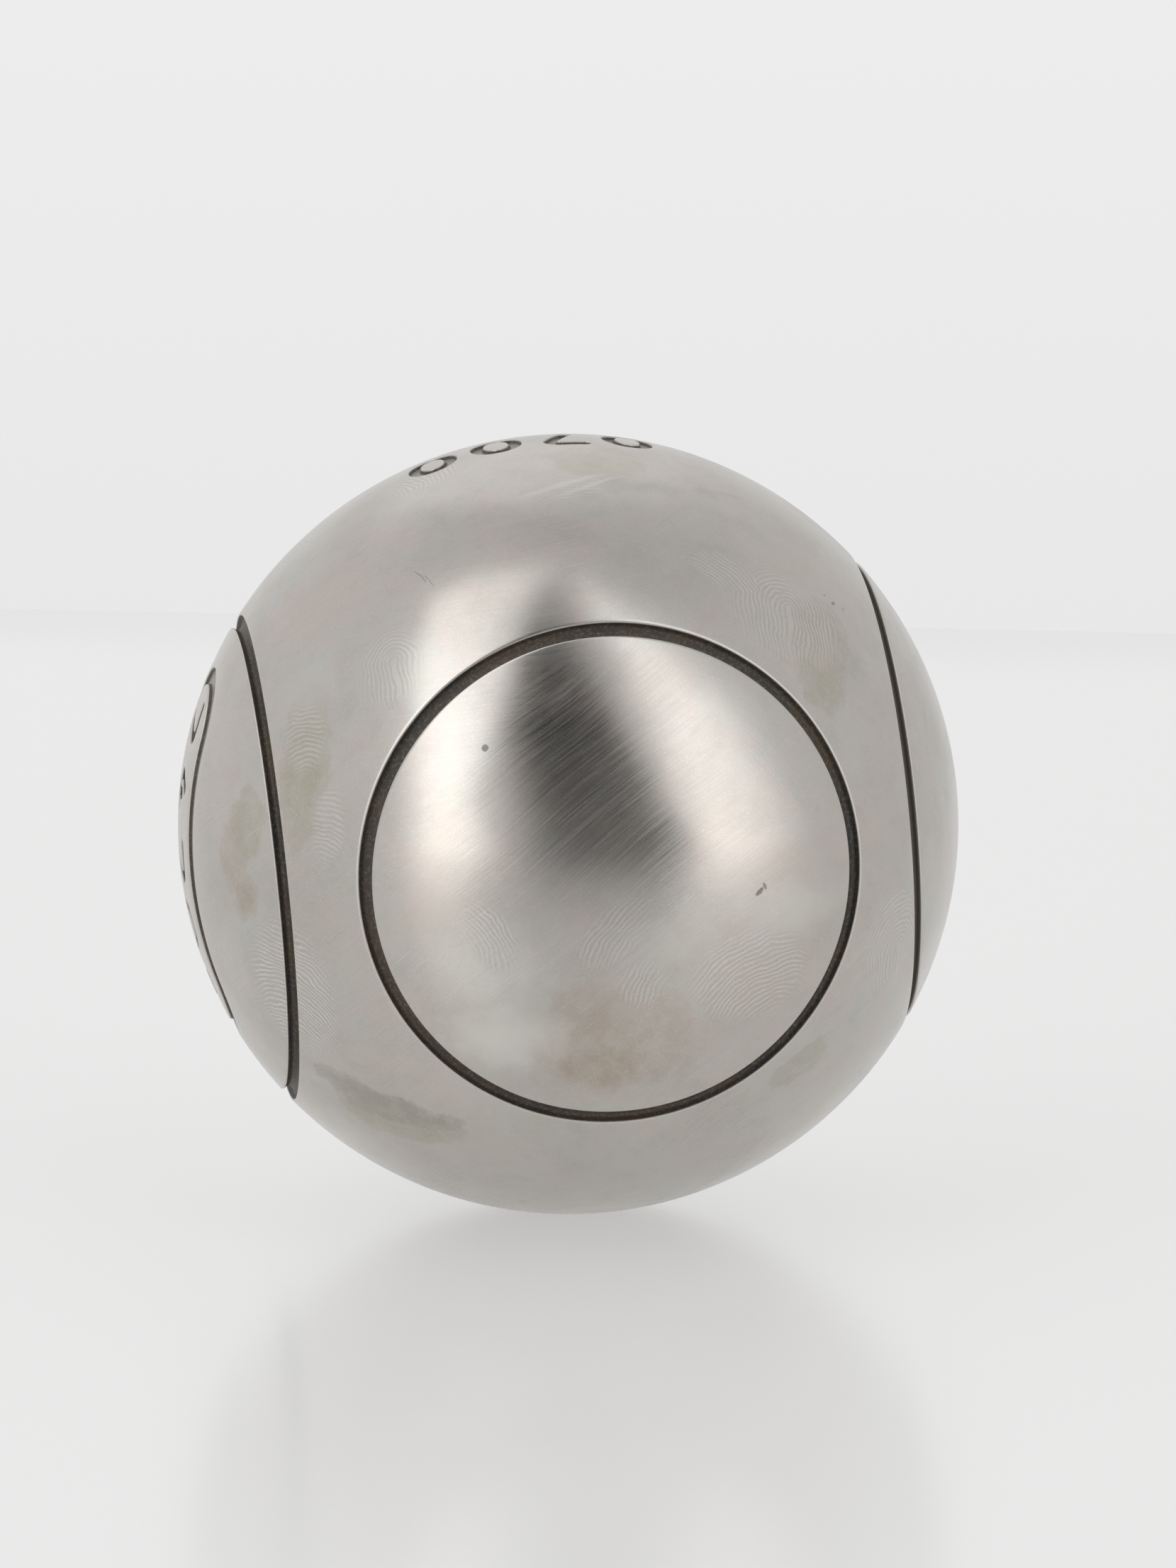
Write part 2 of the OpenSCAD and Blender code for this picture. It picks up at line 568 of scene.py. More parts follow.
def finish_piece(bm, name):
    """An object made from a closed bmesh, with the true normals on its outer faces."""
    outer = bm.faces.layers.int["outer"]
    layer = bm.verts.layers.float_vector["true_normal"]
    bmesh.ops.recalc_face_normals(bm, faces=bm.faces)
    for edge in bm.edges:
        a, b = edge.link_faces
        edge.smooth = a[outer] == b[outer] and (a[outer] == 1 or a.normal.dot(b.normal) > SMOOTH_COSINE)
    for face in bm.faces:
        face.smooth = True
    mesh = bpy.data.meshes.new(name)
    is_outer = [face[outer] == 1 for face in bm.faces]
    true_normals = [Vector(corner[layer]).normalized() for corner in bm.verts]
    bm.to_mesh(mesh)
    bm.free()
    corner_normals = [Vector(c.vector) for c in mesh.corner_normals]
    for polygon, shown in zip(mesh.polygons, is_outer):
        if shown:
            for corner in polygon.loop_indices:
                corner_normals[corner] = true_normals[mesh.loops[corner].vertex_index]
    mesh.normals_split_custom_set(corner_normals)
    for attribute in ("true_normal", "outer"):
        mesh.attributes.remove(mesh.attributes[attribute])
    return new_object(name, mesh)


def open_edges(bm, above):
    """Edges of the skin's cut on the upper or lower side."""
    return [e for e in bm.edges if e.is_boundary and (e.verts[0].co.z > 0) == above]


def make_half_shell(skin, name, sign):
    """The upper (1) or lower (-1) half shell: its part of the skin, its joint and the cavity's wall."""
    bm = skin_part(skin, [(sign * SEAM_Z, sign > 0)])
    root = joint(bm, open_edges(bm, sign > 0), sign * ROOT_HALF_GAP)
    steps = np.linspace(math.asin(ROOT_HALF_GAP / CAVITY_R), math.pi / 2, CAVITY_ROWS)[:-1]
    profile = [(CAVITY_R * math.cos(t), sign * CAVITY_R * math.sin(t)) for t in steps]
    profile.append((0, sign * CAVITY_R))
    inner, _ = turned(bm, profile)
    zip_loops(bm, root, inner)
    return finish_piece(bm, name)


def make_weld(skin, name):
    """The weld: its belt of the skin, both joints, and the bead inside, which is an arc."""
    bm = skin_part(skin, [(SEAM_Z, False), (-SEAM_Z, True)])
    rims = open_edges(bm, True), open_edges(bm, False)
    upper = joint(bm, rims[0], ROOT_HALF_GAP)
    lower = joint(bm, rims[1], -ROOT_HALF_GAP)
    toe_x = math.sqrt(CAVITY_R**2 - BEAD_HALF_W**2)
    crest_x = CAVITY_R - BEAD_H
    rise = toe_x - crest_x
    bead_r = (rise**2 + BEAD_HALF_W**2) / (2 * rise)
    toe = math.asin(BEAD_HALF_W / bead_r)
    neck_x = math.sqrt(CAVITY_R**2 - ROOT_HALF_GAP**2)
    steps = np.linspace(toe, -toe, BEAD_ROWS)
    bead = [(crest_x + bead_r * (1 - math.cos(t)), bead_r * math.sin(t)) for t in steps]
    profile = [(neck_x, ROOT_HALF_GAP), *bead, (neck_x, -ROOT_HALF_GAP)]
    first, last = turned(bm, profile)
    zip_loops(bm, upper, first)
    zip_loops(bm, lower, last)
    return finish_piece(bm, name)


skin = skin_mesh()
pieces = {
    "upper_half_shell": make_half_shell(skin, "upper_half_shell_turned", 1),
    "lower_half_shell": make_half_shell(skin, "lower_half_shell_turned", -1),
    "weld_seam": make_weld(skin, "weld_seam_turned"),
}
skin.free()


def cosine(degrees):
    return math.cos(math.radians(degrees))


def towards(azimuth, elevation):
    """Direction from the ball: azimuth 0 is the front and grows to the right, in degrees."""
    a, e = math.radians(azimuth), math.radians(elevation)
    return Vector((math.sin(a) * math.cos(e), -math.cos(a) * math.cos(e), math.sin(e)))


def new_material(name):
    material = bpy.data.materials.new(name)
    material.use_nodes = True
    return material, Nodes(material.node_tree)


class Nodes:
    """Short ways to make and join the nodes of one material or world."""

    def __init__(self, tree):
        self.tree = tree
        tree.nodes.clear()

    def new(self, kind, **settings):
        node = self.tree.nodes.new(kind)
        for name, value in settings.items():
            setattr(node, name, value)
        return node

    def put(self, socket, value):
        if isinstance(value, bpy.types.NodeSocket):
            self.tree.links.new(value, socket)
        elif value is not None:
            socket.default_value = value

    def fill(self, node, *values):
        """Sets a node's sockets in order, leaving out None, and gives its first output."""
        for socket, value in zip(node.inputs, values):
            self.put(socket, value)
        return node.outputs[0]

    def math(self, operation, a, b=None, clamp=False):
        return self.fill(self.new("ShaderNodeMath", operation=operation, use_clamp=clamp), a, b)

    def plus(self, a, b):
        return self.math("ADD", a, b)

    def minus(self, a, b):
        return self.math("SUBTRACT", a, b)

    def times(self, a, b):
        return self.math("MULTIPLY", a, b)

    def most(self, a, b):
        return self.math("MAXIMUM", a, b)

    def vector(self, operation, a, b=None, scale=None):
        node = self.new("ShaderNodeVectorMath", operation=operation)
        self.fill(node, a, b, None, scale)
        return node.outputs["Value" if operation in ("DOT_PRODUCT", "LENGTH") else "Vector"]

    def facing(self, vector, way):
        return self.vector("DOT_PRODUCT", vector, tuple(way))

    def ramp(self, value, low, high, to_low=0.0, to_high=1.0, smooth=True):
        kind = "SMOOTHSTEP" if smooth else "LINEAR"
        node = self.new("ShaderNodeMapRange", interpolation_type=kind, clamp=True)
        return self.fill(node, value, low, high, to_low, to_high)

    def noise(self, vector, scale, detail=2.0, roughness=0.5, output="Fac"):
        node = self.new("ShaderNodeTexNoise", noise_dimensions="3D")
        self.fill(node, vector, None, scale, detail, roughness)
        return node.outputs[output]

    def wobble(self, vector, scale, detail, roughness=0.5):
        """A vector that wanders from place to place, round zero."""
        colour = self.noise(vector, scale, detail, roughness, "Color")
        return self.vector("SUBTRACT", colour, (0.5, 0.5, 0.5))

    def moved(self, place, way, scale):
        return self.vector("ADD", place, self.vector("SCALE", way, scale=scale))

    def mix(self, share, a, b, kind="RGBA"):
        node = self.new("ShaderNodeMix", data_type=kind)
        place = ("FLOAT", "VECTOR", "RGBA").index(kind)
        self.put(node.inputs[0], share)
        self.put(node.inputs[2 * place + 2], a)
        self.put(node.inputs[2 * place + 3], b)
        return node.outputs[place]

    def shader(self, kind, **values):
        """A shader node with its sockets set by name, with an underscore for a space."""
        node = self.new(kind)
        for name, value in values.items():
            self.put(node.inputs[name.replace("_", " ")], value)
        return node.outputs[0] if node.outputs else None

    def mix_shaders(self, share, a, b):
        return self.fill(self.new("ShaderNodeMixShader"), share, a, b)

    def curve(self, elevation, results, low, high):
        """A value by elevation, from its results at SHAPE_ELEVATIONS. They lie between low and high."""
        node = self.new("ShaderNodeFloatCurve")
        points = node.mapping.curves[0].points
        for _ in results[2:]:
            points.new(0, 0)
        for point, degrees, result in zip(points, SHAPE_ELEVATIONS, results):
            point.location = ((degrees + 90) / 180, (result - low) / (high - low))
            point.handle_type = "VECTOR"
        node.mapping.update()
        self.put(node.inputs["Value"], self.ramp(elevation, -90, 90, smooth=False))
        return self.ramp(node.outputs[0], 0, 1, low, high, smooth=False)


# Colours and finish of the steel
STEEL_WARM = (0.514, 0.481, 0.447, 1)
STEEL_COOL = (0.498, 0.484, 0.456, 1)
STEEL_PINK = (0.528, 0.47, 0.438, 1)
STEEL_GREEN = (0.494, 0.482, 0.428, 1)
STEEL_STAINED = (0.415, 0.388, 0.352, 1)
PALE_STEEL = (0.61, 0.59, 0.56, 1)
SCORED = (0.16, 0.15, 0.14, 1)
GROOVE_OXIDE = (0.056, 0.05, 0.043, 1)
GROOVE_BROWN = (0.08, 0.06, 0.042, 1)
GROOVE_DUST = (0.16, 0.14, 0.112, 1)
# Washes of colour: the mark each follows, where it is faint and where it is full, its strength, its tint
BROAD_WASHES = [
    ("warmth", 0.36, 0.58, 1, STEEL_WARM),
    ("blush", 0.5, 0.66, 0.75, STEEL_PINK),
    ("blush", 0.46, 0.32, 0.6, STEEL_GREEN),
]
FINE_WASHES = [
    ("grain", 0.56, 0.7, 0.46, PALE_STEEL),
    ("lines", 0.54, 0.74, 0.2, PALE_STEEL),
    ("lines", 0.46, 0.26, 0.24, STEEL_STAINED),
]
# The haze in the same way, and the grease of the prints
CLOUD_HAZE, MOTTLE_HAZE, PRINT_GREASE = (0.42, 0.62, 0, 0.28), (0.45, 0.7, 0, 0.2), 0.44
# Depths in millimetres at which each begins and is full: the rims, rubbed bright and with a painted
# highlight, at their top, the same at their foot, the dark oxide, and the floor of the numbers, where part
# of the oxide is worn off
RIM_FROM, RIM_TO, OXIDE_FROM, NUMBER_FLOOR = (0.004, 0.03), (0.14, 0.06), (0.05, 0.18), (0.34, 0.44)
NUMBER_FLOOR_WEAR = 0.45
# How much deeper the right ring's rims are worn bright and carry the painted highlight, in millimetres,
# and how dusty its groove is
RIGHT_RING_RIM_DEPTH = 0.12
RIGHT_RING_DUST = 0.5
# How far in degrees each one reaches from the middle of its cap, or from the pole
RIGHT_RING_REACH, SIDE_NUMBER_REACH, TOP_NUMBER_REACH = 41, 32, 40
STEEL_ROUGHNESS, RIM_ROUGHNESS, GROOVE_ROUGHNESS = 0.225, 0.4, 0.55
GROOVE_METALLIC = 0.35
# What the marks add to the roughness: from and to which value of the mark, and how much at both
CLOUD_ROUGHNESS = (0.35, 0.65, -0.015, 0.03)
LINE_ROUGHNESS = (0.3, 0.72, -0.03, 0.055)
STAIN_ROUGHNESS, RIDGE_ROUGHNESS = 0.05, 0.05

# Brushing: width and length of the fine lines and their bend in millimetres, and their depth in metres
LINE_WIDTH = 0.15
LINE_LENGTH = 7.0
LINE_BEND = 2.5
LINE_WANDER = 0.8
LINE_SHIFT = (7.3, 3.1, 0)
BRUSH_DEPTH = 0.005 * MM
SCRATCH_DEPTH = 0.003 * MM
# Each way of brushing: the direction across its lines, its middle, and how far it reaches in degrees
BRUSHING = [
    ((-0.594, 0.205, 0.778), (-5, 0), 180),
    ((-0.19, 0.18, 0.97), (-36, 34), 30),
    ((0.3, 0.85, 0.4), (75, 20), 50),
]
# Where the lines show most, and how far from it they are faded and begin to fade, in degrees
FRESHEST_BRUSHING = (-3, 6)
FRESH_REACH = (38, 20)

# Noises on the steel: features to a millimetre, detail and roughness, and how far from the ball each one
# is read, so that no two are alike
NOISES = {
    "warmth": (0.09, 3, 0.6, (0, 60, 0)),
    "blush": (0.26, 4, 0.65, (0, 0, 80)),
    "cloud": (0.1, 5, 0.6, (0, 0, 0)),
    "mottle": (0.45, 4, 0.65, (40, 0, 0)),
    "grain": (7.0, 2, 0.6, (0, 0, 0)),
    "freshness": (0.05, 2, 0.5, (0, 0, 30)),
    "grease": (0.55, 5, 0.7, (0, 0, 0)),
    "oxide": (0.16, 3, 0.5, (0, 0, 0)),
    "dust": (3.2, 4, 0.7, (0, 0, 0)),
}
WANDER_SCALE, BEND_SCALE = 0.05, 0.3

# Stains by colour, with the hardness of their edge and the strength of the tide mark along it. Each has
# its azimuth, elevation and turn in degrees, its half width and height in millimetres, and its strength.
BROWN = (0.408, 0.347, 0.288, 1)
OLIVE = (0.405, 0.383, 0.313, 1)
GREY = (0.385, 0.368, 0.342, 1)
DARK = (0.35, 0.33, 0.3, 1)
WARM = (0.525, 0.47, 0.425, 1)
CLEAN = (0.54, 0.525, 0.495, 1)
BRIGHT = (0.62, 0.592, 0.556, 1)
STAINS = [
    (BROWN, 0.35, 0.1, [
        (-1, -22.5, 0, 8.8, 5.8, 0.68), (-2, -27, 10, 4.6, 3.4, 1),
        (-8, -21.5, 0, 3.4, 2.2, 0.5), (4, -20, 15, 4.4, 2.4, 0.6),
        (8, -27, 0, 3.2, 2.2, 0.55), (-64, 0, 0, 2.4, 3.4, 0.55),
        (-62, -5, 0, 2.2, 2.6, 0.85), (170, 35, 30, 6.5, 4, 0.6),
        (90, -45, 0, 5, 4, 0.7), (-120, 25, 60, 6, 3.5, 0.5),
        (130, 10, 100, 5, 3, 0.4),
    ]),
    (OLIVE, 0.6, 0.22, [
        (-50.5, 15, 6, 2.9, 7.4, 0.95), (-61, 5, 0, 2.6, 3.2, 0.75),
        (42, 35, 20, 4.2, 3.4, 0.8), (38, 28, 50, 3.8, 2.8, 0.7),
        (34, -30, 40, 3.4, 1.8, 0.55), (-42, -39.5, -18, 6.4, 3, 0.85),
        (10, 75, 0, 5, 4, 0.3), (150, -25, 20, 6, 3, 0.6),
        (-160, -5, 70, 4, 7, 0.5), (100, 50, 0, 5, 3.5, 0.5),
    ]),
    (WARM, 0.2, 0, [
        (14, 6, 30, 4.6, 4, 0.6), (23, 3, -10, 5.2, 2.8, 0.6),
        (-26, 5, 0, 3.2, 5.6, 0.6), (-28, -3, 0, 3.2, 3.8, 0.6),
        (20, -13, 20, 6.6, 5.4, 0.6), (-61, 39, 0, 6, 5, 0.6),
        (44, 46, 0, 7, 4.4, 0.5), (120, 30, 0, 9, 6, 0.5),
        (-150, 20, 0, 8, 6, 0.5),
    ]),
    (DARK, 0.8, 0.22, [
        (-42.5, -37, -22, 7.2, 2, 0.75),
    ]),
    (GREY, 0.2, 0.04, [
        (67, 20, 0, 4, 5.5, 0.35), (46, 29, 60, 3.4, 2.6, 0.35),
        (-38, 58, 8, 7.5, 3, 0.42), (-12, 55, -6, 6, 2.8, 0.32),
        (12, 66, 0, 6.5, 2.2, 0.4), (46, 62, -25, 4, 0.7, 0.5),
        (-150, 45, 0, 6, 2.5, 0.5), (-100, -30, 30, 7, 2, 0.6),
        (175, -35, 0, 6, 4, 0.4),
    ]),
    (BRIGHT, 0.2, 0, [
        (-9, 67, 32, 4.8, 0.45, 0.6), (0, 66.5, 30, 4.2, 0.35, 0.55),
        (-16, 65, 26, 3, 0.35, 0.5), (-20, -12, 0, 6.5, 6, 0.9),
        (-17, -22, 0, 6, 4.5, 1), (25, -5, 0, 5.5, 3.6, 0.7),
        (70, -20, 0, 7, 6, 0.6), (-160, 20, 0, 7, 6, 0.6),
    ]),
    (CLEAN, 0.3, 0, [
        (-52, 27, 0, 4, 4.5, 0.55), (39, 18, -10, 2.6, 6, 0.45),
        (4, -8, 0, 4.2, 2.4, 0.5), (-68, -15, 0, 3, 5, 0.5),
        (-70, 64, 0, 4, 3, 0.4), (140, 40, 30, 6, 3, 0.4),
        (-130, -10, 0, 4, 6, 0.5),
    ]),
    (SCORED, 0.9, 0, [
        (-39, 45.6, 145, 1.05, 0.06, 0.45), (-36.5, 44.9, 145, 1.05, 0.05, 0.4),
        (50, 38.7, 20, 0.3, 0.16, 0.6), (52, 37.6, 80, 0.18, 0.12, 0.55),
        (49, 40.2, 0, 0.14, 0.12, 0.5), (20.3, -1.4, 40, 0.5, 0.22, 0.85),
        (21.2, -0.7, 110, 0.36, 0.16, 0.75), (-20, 19.4, 0, 0.3, 0.3, 0.85),
        (95, 5, 20, 0.35, 0.3, 0.8), (-130, 12, 0, 0.4, 0.32, 0.8),
        (165, -12, 60, 1.4, 0.09, 0.6),
    ]),
]

# Fingerprints: azimuth, elevation and turn in degrees, half width and height and the place of the ridges'
# centre in millimetres, and the strength
FINGERPRINTS = [
    (-54, -18.5, 0, 5.6, 7.4, -2.5, -7.2, 1), (20, -13.5, 12, 6.2, 4.8, 2, -7, 0.7),
    (36, 38, -25, 6.4, 5.6, 0, 0.6, 0.55), (27, 46, -40, 4.4, 2.2, -3, -9, 0.6),
    (-51, 19, 25, 2.6, 3.4, -2, -7.5, 0.5), (-44, 7, 0, 1.9, 3.6, -1, -9, 0.6),
    (-38, 30.5, 20, 3.4, 4, 0.6, 0.4, 0.45), (-18.5, -7.5, -62, 3.8, 2.3, 0, -9, 0.8),
    (-1, -6.5, 42, 4.4, 2.4, 2, -9, 0.6), (-75, 66, 10, 4.5, 4, 0, -6, 0.8),
    (-6, 66, 20, 4, 2.2, -2, -8, 0.4), (3, -14, 70, 2.4, 2.2, 0, -7, 0.6),
    (48, -12, 20, 4.4, 6, 1, -1, 0.6), (95, 20, -30, 5.5, 7.5, 0, -1.5, 1),
    (140, -20, 60, 5.5, 7.5, 1, -1, 1), (-170, 10, 10, 5.5, 7.5, 0, -2, 1),
    (-120, -15, -60, 5.5, 7.5, -2, -3, 1), (-100, 45, 120, 5.5, 7.5, 0, -1, 0.9),
    (160, 55, -10, 5.5, 7.5, 0.5, -1.5, 0.9),
]
RIDGE_PITCH = 0.46
RIDGE_BEND = 1.6
# Depth of the ellipsoid in the ball that bounds a print, and the least one for a stain, in millimetres
PRINT_DEPTH = 8
SPOT_DEPTH = 6.0
# How far a stain's outline wanders, and below which half height it is a firm mark that wanders less
SOFT_BEND, FIRM_BEND, FIRM_BELOW = 5.0, 0.7, 0.5
# How much of the rims' colour is bright steel: rubbed steel, and in part a painted highlight along the
# groove edges
RIM_WEAR_AND_HIGHLIGHT = 0.65


def brushed_lines(n, place, across, seed):
    """Noise drawn out into lines that run round the ball, from 0 to 1."""
    way = tuple(Vector(across).normalized())
    thinner = n.times(n.facing(place, way), 1 / LINE_WIDTH - 1 / LINE_LENGTH)
    spread = n.moved(n.vector("SCALE", place, scale=1 / LINE_LENGTH), way, thinner)
    shift = tuple(seed * step for step in LINE_SHIFT)
    return n.noise(n.vector("ADD", spread, shift), 1.0, detail=2.0, roughness=0.6)


def brushing(n, place, direction, freshness):
    """The brushed lines, one way of brushing over another, from 0 to 1, fainter where they are worn."""
    bend = n.wobble(place, WANDER_SCALE, detail=1)
    bent = n.moved(place, bend, LINE_BEND)
    wander = n.times(n.facing(bend, (1.0, 0.6, 0.0)), LINE_WANDER)
    lines = 0.5
    for i, (across, middle, reach) in enumerate(BRUSHING):
        ahead = n.plus(n.facing(direction, towards(*middle)), wander)
        edge = cosine(reach)
        share = n.ramp(ahead, edge - 0.1, edge + 0.14) if i else 1.0
        lines = n.mix(share, lines, brushed_lines(n, bent, across, i + 1), "FLOAT")
    freshest = n.ramp(n.facing(direction, towards(*FRESHEST_BRUSHING)), *map(cosine, FRESH_REACH))
    return n.mix(n.most(n.ramp(freshness, 0.45, 0.6, 0.45, 1), freshest), 0.5, lines, "FLOAT")


def spot_place(n, place, middle, turn, size):
    """Each place as seen from a spot on the ball: right, up and out of it, in units of the spot's size."""
    axis = towards(*middle)
    up = (Vector((0, 0, 1)) - axis * axis.z).normalized()
    up.rotate(Matrix.Rotation(math.radians(turn), 3, axis))
    spot = Matrix((up.cross(axis), up, axis)).transposed()
    node = n.new("ShaderNodeMapping", vector_type="TEXTURE")
    return n.fill(node, place, tuple(axis * (BALL_R / MM)), tuple(spot.to_euler()), size)


def stained(n, place, colour, mottle):
    """The colour with the stains over it, and how stained each place is."""
    bend = n.wobble(place, BEND_SCALE, detail=4, roughness=0.6)
    soft, firm = n.moved(place, bend, SOFT_BEND), n.moved(place, bend, FIRM_BEND)
    all_stains = 0.0
    for tint, hardness, tide_mark, spots in STAINS:
        amount = 0.0
        for *middle, turn, half_w, half_h, strength in spots:
            where = firm if half_h < FIRM_BELOW else soft
            depth = max(half_w, SPOT_DEPTH)
            size = n.vector("LENGTH", spot_place(n, where, middle, turn, (half_w, half_h, depth)))
            amount = n.most(amount, n.ramp(size, 1.2, hardness, 0, strength))
        if tide_mark:
            edge = n.times(n.ramp(amount, 0.02, 0.2), n.ramp(amount, 0.55, 0.25))
            amount = n.times(amount, n.ramp(mottle, 0.32, 0.62, 0.55, 1.0))
            amount = n.math("ADD", amount, n.times(edge, tide_mark), clamp=True)
            all_stains = n.most(all_stains, amount)
        colour = n.mix(amount, colour, tint)
    return colour, all_stains


def fingerprints(n, place, grease):
    """Ridges of the fingerprints from 0 to 1, and how strongly the prints show."""
    local, shown = (0.0, 0.0, 0.0), 0.0
    for *middle, turn, half_w, half_h, centre_x, centre_y, strength in FINGERPRINTS:
        flat = spot_place(n, place, middle, turn, (1, 1, 1))
        size = n.vector("MULTIPLY", flat, (1 / half_w, 1 / half_h, 1 / PRINT_DEPTH))
        here = n.ramp(n.vector("LENGTH", size), 1.15, 0.65, 0, strength)
        from_centre = n.vector("SUBTRACT", flat, (centre_x, centre_y, 0))
        local = n.mix(n.math("GREATER_THAN", here, shown), local, from_centre, "VECTOR")
        shown = n.most(shown, here)
    bend = n.wobble(place, BEND_SCALE, detail=2.5)
    parts = n.new("ShaderNodeSeparateXYZ")
    n.put(parts.inputs[0], n.moved(local, bend, RIDGE_BEND))
    x, y, _ = parts.outputs
    above = n.most(y, 0.0)
    loop = n.math("SQRT", n.plus(n.times(x, x), n.times(above, above)))
    wave = n.math("SINE", n.times(loop, math.tau / RIDGE_PITCH))
    return n.ramp(wave, -0.6, 0.8), n.times(shown, n.ramp(grease, 0.36, 0.56, 0.5, 1))


def within(n, direction, axis, reach):
    """1 within this many degrees of an axis, and 0 past it."""
    return n.ramp(n.facing(direction, axis), cosine(reach) - 0.01, cosine(reach))


def find_marks(n, place):
    """Everything that colour, roughness and relief share: noises, lines, prints, and masks by depth."""
    marks = SimpleNamespace()
    for name, (scale, detail, roughness, shift) in NOISES.items():
        setattr(marks, name, n.noise(n.vector("ADD", place, shift), scale, detail, roughness))
    direction = n.vector("NORMALIZE", place)
    marks.lines = brushing(n, place, direction, marks.freshness)
    marks.ridges, marks.printed = fingerprints(n, place, marks.grease)
    marks.right_ring = within(n, direction, RIGHT, RIGHT_RING_REACH)
    depth = n.minus(BALL_R / MM, n.vector("LENGTH", place))
    below = n.minus(depth, n.times(marks.right_ring, RIGHT_RING_RIM_DEPTH))
    marks.rim = n.times(n.ramp(depth, *RIM_FROM), n.ramp(below, *RIM_TO))
    top_number = within(n, direction, POLE, TOP_NUMBER_REACH)
    numbered = n.most(top_number, within(n, direction, -RIGHT, SIDE_NUMBER_REACH))
    worn_floor = n.times(n.times(numbered, n.ramp(depth, *NUMBER_FLOOR)), NUMBER_FLOOR_WEAR)
    marks.cut = n.minus(n.ramp(below, *OXIDE_FROM), worn_floor)
    return marks


def washed(n, marks, colour, washes):
    """The colour with one wash after another over it."""
    for mark, faint, full, strength, tint in washes:
        colour = n.mix(n.ramp(getattr(marks, mark), faint, full, 0, strength), colour, tint)
    return colour


def skin_colour(n, place, marks):
    """Steel that is warmer in places, with tarnish, stains, the prints' grease and fine lines over it."""
    colour = washed(n, marks, STEEL_COOL, BROAD_WASHES)
    haze = n.plus(n.ramp(marks.cloud, *CLOUD_HAZE), n.ramp(marks.mottle, *MOTTLE_HAZE))
    colour = n.mix(haze, colour, STEEL_STAINED)
    colour, stains = stained(n, place, colour, marks.mottle)
    colour = n.mix(n.times(marks.printed, PRINT_GREASE), colour, STEEL_STAINED)
    colour = n.mix(n.times(marks.ridges, marks.printed), colour, PALE_STEEL)
    return washed(n, marks, colour, FINE_WASHES), stains


def groove_colour(n, marks):
    """Dark oxide, browner in some places, with dust in it."""
    oxide = n.mix(n.ramp(marks.oxide, 0.42, 0.62), GROOVE_OXIDE, GROOVE_BROWN)
    dust = n.most(n.ramp(marks.dust, 0.45, 0.75), n.times(marks.right_ring, RIGHT_RING_DUST))
    return n.mix(dust, oxide, GROOVE_DUST)


def steel_roughness(n, marks, stains):
    roughness = n.plus(STEEL_ROUGHNESS, n.ramp(marks.cloud, *CLOUD_ROUGHNESS))
    roughness = n.plus(roughness, n.ramp(marks.lines, *LINE_ROUGHNESS, smooth=False))
    roughness = n.plus(roughness, n.times(stains, STAIN_ROUGHNESS))
    ridge_roughness = n.times(n.times(marks.printed, n.ramp(marks.ridges, 0, 1)), RIDGE_ROUGHNESS)
    roughness = n.mix(marks.rim, n.plus(roughness, ridge_roughness), RIM_ROUGHNESS, "FLOAT")
    return n.mix(marks.cut, roughness, GROOVE_ROUGHNESS, "FLOAT")


def steel_material():
    """Worn satin steel. Rims are rubbed bright and carry a painted highlight, and below them the grooves
    are dark.
    """
    material, n = new_material("worn_satin_steel")
    place = n.vector("SCALE", n.new("ShaderNodeTexCoord").outputs["Object"], scale=1 / MM)
    marks = find_marks(n, place)
    colour, stains = skin_colour(n, place, marks)
    # Painted highlight in part: the rims take a bright steel colour, besides being rubbed bright
    colour = n.mix(n.times(marks.rim, RIM_WEAR_AND_HIGHLIGHT), colour, PALE_STEEL)
    scratches = n.ramp(marks.lines, 0.66, 0.8, 0, SCRATCH_DEPTH, smooth=False)
    height = n.minus(n.times(marks.lines, BRUSH_DEPTH), scratches)
    steel = n.shader(
        "ShaderNodeBsdfPrincipled",
        Base_Color=n.mix(marks.cut, colour, groove_colour(n, marks)),
        Metallic=n.ramp(marks.cut, 0, 1, 1.0, GROOVE_METALLIC, smooth=False),
        Roughness=steel_roughness(n, marks, stains),
        Normal=n.shader("ShaderNodeBump", Strength=1.0, Distance=1.0, Height=height),
    )
    n.shader("ShaderNodeOutputMaterial", Surface=steel)
    return material


steel = steel_material()
for node, piece in pieces.items():
    piece.data.materials.append(steel)
    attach(piece, "root")
    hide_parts(node)


# The stage: floor and world
FLOOR_COLOUR, FLOOR_EDGE_SHADOW_COLOUR = (0.84, 0.84, 0.835, 1), (0.755, 0.755, 0.75, 1)
FLOOR_THROUGH = 0.68
# Higher than acrylic's own 1.5, because both faces of the sheet mirror
FLOOR_IOR = 1.6
FLOOR_ROUGHNESS = 0.2
FLOOR_REACH = 4.0
# The floor ends behind the ball, and its colour turns darker over the last stretch, a painted shadow along
# its far edge
FLOOR_END_AZIMUTH = 163
FLOOR_END = 427 * MM
FLOOR_EDGE_SHADOW_BAND = 62 * MM
# Between these distances in front the floor's mirroring fades out, so that it stays pale from behind
FLOOR_MATT_FROM = (40 * MM, 420 * MM)


